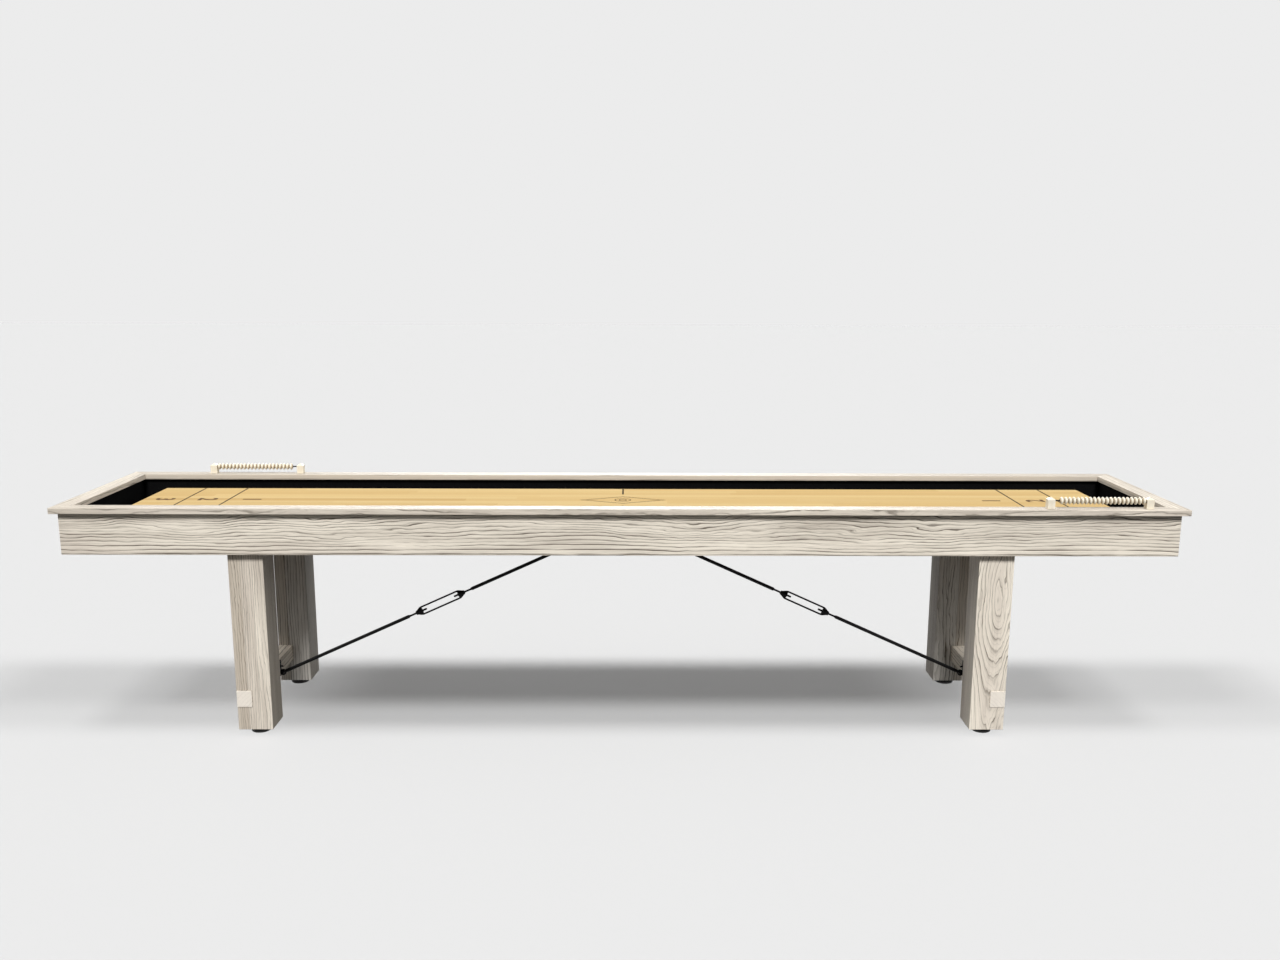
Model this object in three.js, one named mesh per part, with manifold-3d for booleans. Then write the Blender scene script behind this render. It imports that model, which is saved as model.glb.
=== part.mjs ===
// A 12-foot shuffleboard table: a mitred cabinet on four square legs, a butcher-block
// playfield over a carpeted gutter, two abacus scorers on the rails, and a black steel
// truss under the cabinet. Millimetres, +Z up, +X along the length, the origin on the
// floor below the middle of the table.
import * as THREE from 'three';
import { mergeVertices } from 'three/addons/utils/BufferGeometryUtils.js';
import Module from 'manifold-3d';

const wasm = await Module();
wasm.setup();

// ---------------------------------------------------------------- driving dimensions
const LENGTH = 3657.6;
const WIDTH = 698.5;
const RAIL_TOP = 787.4;
const FIT = 0.3; // gap kept between pieces that meet

const RAIL_WIDTH = 57.15;
const RAIL_THICK = 19.05;
const OVERHANG = 21; // rail past the outer face of the apron
const APRON_HEIGHT = 138;
const APRON_THICK = 19.05;
const PANEL_THICK = 18;
const CARPET_THICK = 3;

const FIELD_LENGTH = 3327;
const FIELD_WIDTH = 425.5;
const FIELD_THICK = 44.45;
const FIELD_TOP = 750.4;

const LEG = 114.3;
const LEG_OUTER_X = 1284;
const LEG_OUTER_Y = 302;
const LEG_BOTTOM = 22.5;

const STRETCHER_WIDTH = 50.8;
const STRETCHER_HEIGHT = 57.15;
const STRETCHER_BOTTOM = 102.5;
const STRETCHER_PROUD = 2.5; // end grain standing out of the leg faces

const PAD_RADIUS = 32;
const STEM_RADIUS = 5;
const STEM_TOP = 92;
const SOCKET_FLOOR = 16;

const ROD_RADIUS = 6;
const THREAD_RADIUS = 3.8;
const EYE_RADIUS = 11;
const EYE_HOLE = 6.3;
const EYE_THICK = 9;
const LOW_PIN = new THREE.Vector2(1216, 120); // |x| and z of the rod's lower eye
const HIGH_PIN = new THREE.Vector2(133, 612); // |x| and z of the rod's upper eye
const BUCKLE_X = 646; // |x| of the middle of a turnbuckle
const BUCKLE_LENGTH = 190;

const SCORER_FRONT_X = 1541;
const SCORER_BACK_X = -1363;
const POST = 24;
const POST_HEIGHT = 39;
const POST_SPACING = 320;
const WIRE_HEIGHT = 26; // scorer wire above the rail
const WIRE_RADIUS = 2.2;
const BEAD_RADIUS = 12.25;
const BEAD_BORE = 2.8;
const BEAD_NECK = 5.6;
const BEAD_PITCH = 13.3;
const BEAD_GROUPS = [1, 6, 7, 7]; // the single bead lies next to the free length of wire

// ------------------------------------------------------------------ derived dimensions
const RAIL_BOTTOM = RAIL_TOP - RAIL_THICK;
const APRON_TOP = RAIL_BOTTOM - FIT;
const APRON_BOTTOM = RAIL_BOTTOM - APRON_HEIGHT;
const APRON_OUT_X = LENGTH / 2 - OVERHANG;
const APRON_OUT_Y = WIDTH / 2 - OVERHANG;
const CABINET_IN_X = APRON_OUT_X - APRON_THICK;
const CABINET_IN_Y = APRON_OUT_Y - APRON_THICK;
const PANEL_TOP = APRON_BOTTOM + PANEL_THICK;
const FIELD_BOTTOM = FIELD_TOP - FIELD_THICK;
const LEG_TOP = APRON_BOTTOM - FIT;
const LEG_MID_X = LEG_OUTER_X - LEG / 2;
const LEG_MID_Y = LEG_OUTER_Y - LEG / 2;
const STRETCHER_INNER_X = LEG_OUTER_X - STRETCHER_WIDTH;
const RAIL_MID_Y = (WIDTH - RAIL_WIDTH) / 2;
const SUPPORT_X = [-1240, 0, 1240];
const ADJUSTER_X = [-620, 620];

// --------------------------------------------------------------------------- materials
const finish = (color, roughness, metalness) => () =>
  new THREE.MeshStandardMaterial({ color, roughness, metalness });
const washedAsh = finish(0xd3cbbd, 0.62, 0);
const endGrain = finish(0xdccfb8, 0.68, 0);
const maple = finish(0xdfbe84, 0.24, 0);
const plywood = finish(0xb89a72, 0.75, 0);
const carpet = finish(0x121212, 0.95, 0);
const blackSteel = finish(0x111112, 0.42, 0.75);
const blackRubber = finish(0x0d0d0d, 0.65, 0);
const ivory = finish(0xe6dfcd, 0.38, 0);

// ----------------------------------------------------------------------- solid helpers
const WELD = 1e-4; // vertices closer than this are one
const CUT = 1; // how far a cutting solid reaches past the face that it opens

function toSolid(geometry) {
  const plain = geometry.clone();
  plain.deleteAttribute('normal');
  plain.deleteAttribute('uv');
  const merged = mergeVertices(plain, WELD);
  return new wasm.Manifold(new wasm.Mesh({
    numProp: 3,
    vertProperties: new Float32Array(merged.attributes.position.array),
    triVerts: new Uint32Array(merged.index.array),
  }));
}

function toGeometry(solid) {
  const mesh = solid.getMesh();
  const geometry = new THREE.BufferGeometry();
  geometry.setAttribute('position', new THREE.BufferAttribute(mesh.vertProperties, 3));
  geometry.setIndex(new THREE.BufferAttribute(mesh.triVerts, 1));
  geometry.computeVertexNormals();
  return geometry;
}

// A box given by its lowest and highest corner.
function box(low, high) {
  const size = high.map((value, i) => value - low[i]);
  const geometry = new THREE.BoxGeometry(...size);
  return geometry.translate(...low.map((value, i) => value + size[i] / 2));
}

const AXIS_TURN = {
  x: new THREE.Matrix4().makeRotationZ(-Math.PI / 2),
  y: new THREE.Matrix4(),
  z: new THREE.Matrix4().makeRotationX(Math.PI / 2),
};

// A cylinder between two values along one axis, through the given point.
function cylinder(axis, radius, from, to, at = [0, 0, 0], segments = 16) {
  const geometry = new THREE.CylinderGeometry(radius, radius, to - from, segments);
  geometry.applyMatrix4(AXIS_TURN[axis]);
  const place = [...at];
  place['xyz'.indexOf(axis)] += (from + to) / 2;
  return geometry.translate(...place);
}

// A solid of revolution about the x axis from [x, radius] points.
function turnedX(points, segments) {
  const outline = points.map(([x, radius]) => new THREE.Vector2(radius, x));
  return new THREE.LatheGeometry(outline, segments).rotateZ(-Math.PI / 2);
}

// A solid of revolution about the z axis from [radius, z] points.
function turnedZ(points, segments) {
  const outline = points.map(([radius, z]) => new THREE.Vector2(radius, z));
  return new THREE.LatheGeometry(outline, segments).rotateX(Math.PI / 2);
}

function joined(geometries) {
  return geometries.map((geometry) => toSolid(geometry)).reduce((sum, next) => sum.add(next));
}

function polygon(points) {
  return new THREE.Shape(points.map(([x, y]) => new THREE.Vector2(x, y)));
}

const table = new THREE.Group();

function piece(name, geometry, material, parent = table) {
  const mesh = new THREE.Mesh(geometry, material());
  mesh.name = name;
  parent.add(mesh);
  return mesh;
}

// ------------------------------------------------------------------- cabinet and rails
// One side of a mitred frame, as a flat board: its plan is a trapezoid.
function mitredBoard(outer, width, bottom, thickness) {
  const half = outer / 2 - FIT;
  const plan = polygon([
    [-half, 0],
    [half, 0],
    [half - width, width],
    [-half + width, width],
  ]);
  const board = new THREE.ExtrudeGeometry(plan, { depth: thickness, bevelEnabled: false });
  return board.translate(0, 0, bottom);
}

const SIDES = [
  { side: 'front', turn: 0, along: 'x' },
  { side: 'right', turn: Math.PI / 2, along: 'y' },
  { side: 'back', turn: Math.PI, along: 'x' },
  { side: 'left', turn: -Math.PI / 2, along: 'y' },
];

function mitredFrame(prefix, length, width, boardWidth, bottom, thickness, material) {
  for (const { side, turn, along } of SIDES) {
    const outer = along === 'x' ? length : width;
    const offset = along === 'x' ? width / 2 : length / 2;
    const board = mitredBoard(outer, boardWidth, bottom, thickness).translate(0, -offset, 0);
    piece(`${prefix}_${side}`, board.rotateZ(turn), material);
  }
}

mitredFrame('rail', LENGTH, WIDTH, RAIL_WIDTH, RAIL_BOTTOM, RAIL_THICK, washedAsh);
mitredFrame('apron', 2 * APRON_OUT_X, 2 * APRON_OUT_Y, APRON_THICK, APRON_BOTTOM,
  APRON_TOP - APRON_BOTTOM, washedAsh);

// A flat board lying on z = bottom, with rectangular openings cut right through it.
function slab(halfX, halfY, bottom, thickness, openings) {
  const top = bottom + thickness;
  const board = toSolid(box([-halfX, -halfY, bottom], [halfX, halfY, top]));
  const cuts = openings.map(({ x, reachX, reachY }) => toSolid(box(
    [x - reachX, -reachY, bottom - CUT],
    [x + reachX, reachY, top + CUT],
  )));
  return toGeometry(cuts.reduce((rest, cut) => rest.subtract(cut), board));
}

// Slots in the bottom panel give a spanner room to turn the adjuster nuts.
const ACCESS_HALF_X = 36;
const ACCESS_HALF_Y = 130;
const accessSlots = ADJUSTER_X.map((x) => (
  { x, reachX: ACCESS_HALF_X, reachY: ACCESS_HALF_Y }
));
piece('bottom_panel', slab(
  CABINET_IN_X - FIT, CABINET_IN_Y - FIT, APRON_BOTTOM, PANEL_THICK, accessSlots,
), plywood);

const liner = CARPET_THICK + FIT;
for (const { side, turn, along } of SIDES) {
  const length = along === 'x' ? 2 * CABINET_IN_X : 2 * CABINET_IN_Y;
  const offset = along === 'x' ? CABINET_IN_Y : CABINET_IN_X;
  const strip = mitredBoard(length - 2 * FIT, CARPET_THICK, PANEL_TOP + FIT,
    APRON_TOP - PANEL_TOP - FIT);
  piece(`gutter_carpet_${side}`, strip.translate(0, -offset + FIT, 0).rotateZ(turn), carpet);
}

// The gutter carpet is a ring: the middle is left open for the playfield supports.
const CARPET_OPEN_X = 1560;
const CARPET_OPEN_Y = 195;
piece('gutter_floor_carpet', slab(
  CABINET_IN_X - liner - FIT, CABINET_IN_Y - liner - FIT, PANEL_TOP + FIT, CARPET_THICK,
  [{ x: 0, reachX: CARPET_OPEN_X, reachY: CARPET_OPEN_Y }],
), carpet);

// --------------------------------------------------------------- playfield and supports
piece('playfield', box(
  [-FIELD_LENGTH / 2, -FIELD_WIDTH / 2, FIELD_BOTTOM],
  [FIELD_LENGTH / 2, FIELD_WIDTH / 2, FIELD_TOP],
), maple);

const SIDE_NAME = { '-1': 'left', 0: 'centre', 1: 'right' };
const SUPPORT_HALF_X = 30;
const SUPPORT_HALF_Y = 190;
for (const x of SUPPORT_X) {
  piece(`playfield_support_${SIDE_NAME[Math.sign(x)]}`, box(
    [x - SUPPORT_HALF_X, -SUPPORT_HALF_Y, PANEL_TOP + FIT],
    [x + SUPPORT_HALF_X, SUPPORT_HALF_Y, FIELD_BOTTOM - FIT],
  ), plywood);
}

// A climatic adjuster: a strap across the underside of the playfield with two ears,
// and a threaded bar between the ears that carries a sleeve nut.
const STRAP_TOP = FIELD_BOTTOM - FIT;
const STRAP_HALF_X = 20;
const STRAP_HALF_Y = 185;
const STRAP_THICK = 5;
const EAR_Y = 170;
const EAR_THICK = 6;
const EAR_DROP = 34;
const BAR_RADIUS = 5;
const BAR_DROP = 20;
const BAR_Z = STRAP_TOP - BAR_DROP;
const NUT_RADIUS = 11;
const NUT_BORE = 5.5;
const NUT_HALF = 30;

for (const x of ADJUSTER_X) {
  const ear = (side) => box(
    [x - STRAP_HALF_X, side * EAR_Y - EAR_THICK / 2, STRAP_TOP - EAR_DROP],
    [x + STRAP_HALF_X, side * EAR_Y + EAR_THICK / 2, STRAP_TOP - STRAP_THICK / 2],
  );
  const strap = box(
    [x - STRAP_HALF_X, -STRAP_HALF_Y, STRAP_TOP - STRAP_THICK],
    [x + STRAP_HALF_X, STRAP_HALF_Y, STRAP_TOP],
  );
  const bar = cylinder('y', BAR_RADIUS, -EAR_Y, EAR_Y, [x, 0, BAR_Z], 12);
  const side = SIDE_NAME[Math.sign(x)];
  const adjuster = toGeometry(joined([strap, ear(-1), ear(1), bar]));
  piece(`climatic_adjuster_${side}`, adjuster, blackSteel);
  const sleeve = toSolid(cylinder('y', NUT_RADIUS, -NUT_HALF, NUT_HALF, [x, 0, BAR_Z], 6));
  const boreEnd = NUT_HALF + CUT;
  const bore = toSolid(cylinder('y', NUT_BORE, -boreEnd, boreEnd, [x, 0, BAR_Z], 16));
  piece(`adjuster_nut_${side}`, toGeometry(sleeve.subtract(bore)), blackSteel);
}

// -------------------------------------------------------------------- legs and levelers
const CORNERS = [
  { corner: 'front_left', sx: -1, sy: -1 },
  { corner: 'front_right', sx: 1, sy: -1 },
  { corner: 'back_left', sx: -1, sy: 1 },
  { corner: 'back_right', sx: 1, sy: 1 },
];

const STEM_BORE = STEM_RADIUS + 0.7;
const STEM_BORE_TOP = STEM_TOP + 2;
const rising = (a, b) => a - b;

// The leg is notched on its outer face for the stretcher and bored for the leveler stem.
function legGeometry(sx, sy) {
  const near = [sx * (LEG_OUTER_X - LEG), sx * LEG_OUTER_X].sort(rising);
  const deep = [sy * (LEG_OUTER_Y - LEG), sy * LEG_OUTER_Y].sort(rising);
  const post = toSolid(box([near[0], deep[0], LEG_BOTTOM], [near[1], deep[1], LEG_TOP]));
  const notchX = [sx * (STRETCHER_INNER_X - FIT), sx * (LEG_OUTER_X + CUT)].sort(rising);
  const notch = toSolid(box(
    [notchX[0], deep[0] - CUT, STRETCHER_BOTTOM - FIT],
    [notchX[1], deep[1] + CUT, STRETCHER_BOTTOM + STRETCHER_HEIGHT + FIT],
  ));
  const axis = [sx * LEG_MID_X, sy * LEG_MID_Y, 0];
  const bore = toSolid(cylinder('z', STEM_BORE, LEG_BOTTOM - CUT, STEM_BORE_TOP, axis, 16));
  return toGeometry(post.subtract(notch).subtract(bore));
}

const NECK_RADIUS = 13;
const PAD_SOCKET = STEM_RADIUS + 0.6;
const PAD_TOP = LEG_BOTTOM - 0.8;
const PAD_OUTLINE = [
  [0, 0],
  [PAD_RADIUS - 2, 0],
  [PAD_RADIUS, 3],
  [PAD_RADIUS, 9],
  [PAD_RADIUS - 5, 14],
  [NECK_RADIUS, 15.5],
  [NECK_RADIUS, PAD_TOP],
  [PAD_SOCKET, PAD_TOP],
  [PAD_SOCKET, SOCKET_FLOOR],
  [0, SOCKET_FLOOR],
];

for (const { corner, sx, sy } of CORNERS) {
  piece(`leg_${corner}`, legGeometry(sx, sy), washedAsh);
  const pad = piece(`leveler_pad_${corner}`, turnedZ(PAD_OUTLINE, 24), blackRubber);
  pad.position.set(sx * LEG_MID_X, sy * LEG_MID_Y, 0);
  const stem = cylinder('z', STEM_RADIUS, SOCKET_FLOOR + FIT, STEM_TOP, [0, 0, 0], 12);
  const stemMesh = piece(`leveler_stem_${corner}`, stem, blackSteel);
  stemMesh.position.set(sx * LEG_MID_X, sy * LEG_MID_Y, 0);
}

for (const sx of [-1, 1]) {
  const reach = LEG_OUTER_Y + STRETCHER_PROUD;
  const x = [sx * STRETCHER_INNER_X, sx * LEG_OUTER_X].sort(rising);
  piece(`stretcher_${SIDE_NAME[sx]}`, box(
    [x[0], -reach, STRETCHER_BOTTOM],
    [x[1], reach, STRETCHER_BOTTOM + STRETCHER_HEIGHT],
  ), endGrain);
}

// -------------------------------------------------------------------------------- truss
// Two links reach from a plate to a cross pin; the eye of a rod hangs on the pin.
const PIN_RADIUS = 3;
const PIN_HEAD = 5;
const LINK_INNER = EYE_THICK / 2 + 0.5;
const LINK_THICK = 3.5;
const PIN_BACK = EYE_HOLE - PIN_RADIUS - 0.5; // the pin bears on the far side of the eye
const rise = HIGH_PIN.y - LOW_PIN.y;
const run = LOW_PIN.x - HIGH_PIN.x;
const SLOPE = Math.atan2(rise, run);
const EYE_TO_EYE = Math.hypot(rise, run);

const PIN_HEAD_THICK = 2.5;

function crossPin(x, z) {
  const inner = LINK_INNER + LINK_THICK;
  const outer = inner + PIN_HEAD_THICK;
  return [
    cylinder('y', PIN_RADIUS, -outer, outer, [x, 0, z], 12),
    cylinder('y', PIN_HEAD, -outer, -inner, [x, 0, z], 6),
    cylinder('y', PIN_HEAD, inner, outer, [x, 0, z], 6),
  ];
}

const PLATE_THICK = 5;
const PLATE_HALF_Y = 21;
const LINK_HALF = 5;
const STUD_LENGTH = 13;
const STUD_ABOVE_BOTTOM = 40;
const STUD_RADIUS = 3;
const STUD_NUT_RADIUS = 6;
const STUD_NUT_THICK = 5;
const PLATE_MARGIN = 0.5; // between the plate's edges and the stretcher's
const OVERLAP = 1; // how far welded pieces reach into each other

function anchorBracket(sx) {
  const pinX = LOW_PIN.x + PIN_BACK * Math.cos(SLOPE);
  const pinZ = LOW_PIN.y - PIN_BACK * Math.sin(SLOPE);
  const back = STRETCHER_INNER_X - FIT;
  const face = back - PLATE_THICK;
  const plate = box(
    [face, -PLATE_HALF_Y, STRETCHER_BOTTOM + PLATE_MARGIN],
    [back, PLATE_HALF_Y, STRETCHER_BOTTOM + STRETCHER_HEIGHT - PLATE_MARGIN],
  );
  const link = (side) => box(
    [pinX - LINK_HALF, side > 0 ? LINK_INNER : -LINK_INNER - LINK_THICK, pinZ - LINK_HALF],
    [face + OVERLAP, side > 0 ? LINK_INNER + LINK_THICK : -LINK_INNER, pinZ + LINK_HALF],
  );
  const studZ = STRETCHER_BOTTOM + STUD_ABOVE_BOTTOM;
  const root = face + OVERLAP;
  const stud = cylinder('x', STUD_RADIUS, face - STUD_LENGTH, root, [0, 0, studZ], 12);
  const nut = cylinder('x', STUD_NUT_RADIUS, face - STUD_NUT_THICK, root, [0, 0, studZ], 6);
  const solid = joined([plate, link(-1), link(1), stud, nut, ...crossPin(pinX, pinZ)]);
  const bracket = toGeometry(solid);
  return sx > 0 ? bracket : bracket.rotateZ(Math.PI);
}

const CENTRE_PLATE_PAST_PIN = 30;
const CENTRE_PLATE_HALF_Y = 24;

function centreBracket() {
  const plateTop = APRON_BOTTOM - FIT;
  const halfX = HIGH_PIN.x + CENTRE_PLATE_PAST_PIN;
  const parts = [box(
    [-halfX, -CENTRE_PLATE_HALF_Y, plateTop - PLATE_THICK],
    [halfX, CENTRE_PLATE_HALF_Y, plateTop],
  )];
  for (const sx of [-1, 1]) {
    const pinX = sx * (HIGH_PIN.x - PIN_BACK * Math.cos(SLOPE));
    const pinZ = HIGH_PIN.y + PIN_BACK * Math.sin(SLOPE);
    for (const side of [-1, 1]) {
      parts.push(box(
        [pinX - LINK_HALF, side > 0 ? LINK_INNER : -LINK_INNER - LINK_THICK, pinZ - LINK_HALF],
        [pinX + LINK_HALF, side > 0 ? LINK_INNER + LINK_THICK : -LINK_INNER, plateTop - OVERLAP],
      ));
    }
    parts.push(...crossPin(pinX, pinZ));
  }
  return toGeometry(joined(parts));
}

// A rod lies along +x from the centre of its eye; its thread ends inside the turnbuckle.
const THREAD_OUTSIDE = 24;
const THREAD_INSIDE = 16;
const HUB_LENGTH = 25;
const SHANK_START = 4; // inside the ring of the eye, so the two are one
const SHOULDER_TAPER = 4;
const THREAD_CHAMFER = 1.5;

function rodGeometry(buckleEnd) {
  const shoulder = buckleEnd - THREAD_OUTSIDE;
  const tip = buckleEnd + HUB_LENGTH + THREAD_INSIDE;
  const shank = turnedX([
    [SHANK_START, 0],
    [SHANK_START, ROD_RADIUS],
    [shoulder - SHOULDER_TAPER, ROD_RADIUS],
    [shoulder, THREAD_RADIUS],
    [tip - THREAD_CHAMFER, THREAD_RADIUS],
    [tip, THREAD_RADIUS - THREAD_CHAMFER],
    [tip, 0],
  ], 12);
  const half = EYE_THICK / 2;
  const eye = cylinder('y', EYE_RADIUS, -half, half, [0, 0, 0], 20);
  const hole = cylinder('y', EYE_HOLE, -half - CUT, half + CUT, [0, 0, 0], 16);
  return toGeometry(joined([shank, eye]).subtract(toSolid(hole)));
}

// A turnbuckle lies along x: two side bars that run together into tapered hubs.
const BUCKLE_HALF = BUCKLE_LENGTH / 2;
const BUCKLE_OUT = 16.5;
const BAR_THICK = 6;
const BUCKLE_TIP = 6;
const BUCKLE_BAR_END = BUCKLE_HALF - HUB_LENGTH + 2;
const BUCKLE_CORNER = 4;
const BUCKLE_BORE = THREAD_RADIUS + 0.4;
const HUB_RADIUS = 8.5;
const HUB_TIP_RADIUS = BUCKLE_TIP + 0.5;

function turnbuckleGeometry() {
  const outline = [
    [-BUCKLE_HALF, BUCKLE_TIP],
    [-BUCKLE_HALF, -BUCKLE_TIP],
    [-BUCKLE_BAR_END, -BUCKLE_OUT],
    [BUCKLE_BAR_END, -BUCKLE_OUT],
    [BUCKLE_HALF, -BUCKLE_TIP],
    [BUCKLE_HALF, BUCKLE_TIP],
    [BUCKLE_BAR_END, BUCKLE_OUT],
    [-BUCKLE_BAR_END, BUCKLE_OUT],
  ];
  const inner = BUCKLE_OUT - BAR_THICK;
  const slotEnd = BUCKLE_HALF - HUB_LENGTH;
  const slot = [
    [-slotEnd, -inner + BUCKLE_CORNER],
    [-slotEnd + BUCKLE_CORNER, -inner],
    [slotEnd - BUCKLE_CORNER, -inner],
    [slotEnd, -inner + BUCKLE_CORNER],
    [slotEnd, inner - BUCKLE_CORNER],
    [slotEnd - BUCKLE_CORNER, inner],
    [-slotEnd + BUCKLE_CORNER, inner],
    [-slotEnd, inner - BUCKLE_CORNER],
  ];
  const shape = polygon(outline);
  shape.holes = [polygon(slot)];
  const frame = new THREE.ExtrudeGeometry(shape, { depth: BAR_THICK, bevelEnabled: false });
  frame.translate(0, 0, -BAR_THICK / 2).rotateX(Math.PI / 2);
  const parts = [frame];
  for (const side of [-1, 1]) {
    const from = side * slotEnd;
    const to = side * BUCKLE_HALF;
    const points = [
      [from, 0],
      [from, HUB_RADIUS],
      [to, HUB_TIP_RADIUS],
      [to, 0],
    ];
    parts.push(turnedX(side > 0 ? points : points.reverse(), 16));
  }
  const boreEnd = BUCKLE_HALF + CUT;
  const bore = cylinder('x', BUCKLE_BORE, -boreEnd, boreEnd, [0, 0, 0], 16);
  return toGeometry(joined(parts).subtract(toSolid(bore)));
}

// Each half of the truss is drawn along +x in a group that is tilted up to its slope.
const BUCKLE_MID = (LOW_PIN.x - BUCKLE_X) / Math.cos(SLOPE);
for (const sx of [-1, 1]) {
  const side = SIDE_NAME[sx];
  piece(`truss_anchor_${side}`, anchorBracket(sx), blackSteel);
  const line = new THREE.Group();
  line.position.set(sx * LOW_PIN.x, 0, LOW_PIN.y);
  line.rotation.y = sx < 0 ? -SLOPE : SLOPE - Math.PI;
  table.add(line);
  piece(`truss_rod_lower_${side}`, rodGeometry(BUCKLE_MID - BUCKLE_HALF), blackSteel, line);
  const upper = rodGeometry(EYE_TO_EYE - BUCKLE_MID - BUCKLE_HALF).rotateZ(Math.PI);
  piece(`truss_rod_upper_${side}`, upper, blackSteel, line).position.x = EYE_TO_EYE;
  piece(`turnbuckle_${side}`, turnbuckleGeometry(), blackSteel, line).position.x = BUCKLE_MID;
}
piece('truss_centre_bracket', centreBracket(), blackSteel);

// ------------------------------------------------------------------------------ scorers
const POST_SHOULDER = 31;
const SOCKET_DEPTH = 8;
const SPAN = POST_SPACING - POST; // between the inner faces of the posts

// A square post with a pyramid top, and a blind socket for the wire in its inner face.
function postGeometry(side) {
  const corner = (POST / 2) * Math.SQRT2;
  const outline = [
    [0, FIT],
    [corner, FIT],
    [corner, POST_SHOULDER],
    [0, POST_HEIGHT],
  ];
  const post = turnedZ(outline, 4).rotateZ(Math.PI / 4);
  const face = (-side * POST) / 2;
  const [from, to] = [face - side * CUT, face + side * SOCKET_DEPTH].sort(rising);
  const socket = cylinder('x', WIRE_RADIUS + FIT, from, to, [0, 0, WIRE_HEIGHT], 12);
  return toGeometry(toSolid(post).subtract(toSolid(socket)));
}

const RIM_START = 0.36; // the rim of a bead, as fractions of the pitch
const RIM_END = 0.64;

// Biconical beads threaded face to face, as one turned solid with a bore.
function beadsGeometry(count) {
  const outline = [[0, BEAD_BORE]];
  for (let i = 0; i < count; i += 1) {
    outline.push([i * BEAD_PITCH, BEAD_NECK]);
    outline.push([(i + RIM_START) * BEAD_PITCH, BEAD_RADIUS]);
    outline.push([(i + RIM_END) * BEAD_PITCH, BEAD_RADIUS]);
  }
  const end = count * BEAD_PITCH - FIT;
  outline.push([end, BEAD_NECK]);
  outline.push([end, BEAD_BORE]);
  outline.push([0, BEAD_BORE]);
  return turnedX(outline, 12);
}

// The row of beads rests against one post; `toward` points from that post to the gap.
function scorer(name, midX, midY, toward) {
  const group = new THREE.Group();
  group.position.set(midX, midY, RAIL_TOP);
  table.add(group);
  for (const side of [-1, 1]) {
    const post = piece(`${name}_post_${SIDE_NAME[side]}`, postGeometry(side), ivory, group);
    post.position.x = (side * POST_SPACING) / 2;
  }
  const reach = SPAN / 2 + SOCKET_DEPTH - FIT;
  piece(`${name}_wire`, cylinder('x', WIRE_RADIUS, -reach, reach, [0, 0, WIRE_HEIGHT], 12),
    blackSteel, group);
  let placed = 0;
  const counts = [...BEAD_GROUPS].reverse();
  counts.forEach((count, index) => {
    const start = -toward * (SPAN / 2 - FIT) + toward * placed * BEAD_PITCH;
    const beadsName = `${name}_beads_${counts.length - index}`;
    const beads = piece(beadsName, beadsGeometry(count), ivory, group);
    beads.position.set(toward > 0 ? start : start - count * BEAD_PITCH + FIT, 0, WIRE_HEIGHT);
    placed += count;
  });
}

scorer('front_scorer', SCORER_FRONT_X, -RAIL_MID_Y, -1);
scorer('back_scorer', SCORER_BACK_X, RAIL_MID_Y, 1);

export default table;
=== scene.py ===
"""The looks of the 12-foot shuffleboard table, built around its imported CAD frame. Metres, +Z up."""
import math
import random

import bpy
from mathutils import Matrix, Vector


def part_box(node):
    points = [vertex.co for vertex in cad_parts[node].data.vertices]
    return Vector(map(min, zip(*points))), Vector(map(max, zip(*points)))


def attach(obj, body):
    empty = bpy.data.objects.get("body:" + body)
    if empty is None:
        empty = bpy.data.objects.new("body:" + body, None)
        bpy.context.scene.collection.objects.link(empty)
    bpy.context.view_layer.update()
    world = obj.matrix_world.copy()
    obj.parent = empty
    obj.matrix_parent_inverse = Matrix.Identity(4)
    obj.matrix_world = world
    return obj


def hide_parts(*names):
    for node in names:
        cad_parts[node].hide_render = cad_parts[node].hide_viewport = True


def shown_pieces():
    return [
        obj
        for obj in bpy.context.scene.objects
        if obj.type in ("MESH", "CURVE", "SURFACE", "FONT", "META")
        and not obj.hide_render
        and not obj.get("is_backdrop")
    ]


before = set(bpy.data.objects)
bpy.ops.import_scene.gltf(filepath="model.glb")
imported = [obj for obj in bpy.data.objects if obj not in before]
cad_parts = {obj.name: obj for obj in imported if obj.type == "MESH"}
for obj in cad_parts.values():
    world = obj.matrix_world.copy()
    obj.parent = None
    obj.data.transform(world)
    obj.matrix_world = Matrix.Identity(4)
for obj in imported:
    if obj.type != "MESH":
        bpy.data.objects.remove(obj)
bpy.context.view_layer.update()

ROOT = "table_body"
MM = 0.001
SIDES = {"left": -1, "right": 1}
ENDS = {"front": -1, "back": 1}
CORNERS = [f"{end}_{side}" for end in ENDS for side in SIDES]
EDGES = ("front", "right", "back", "left")


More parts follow.
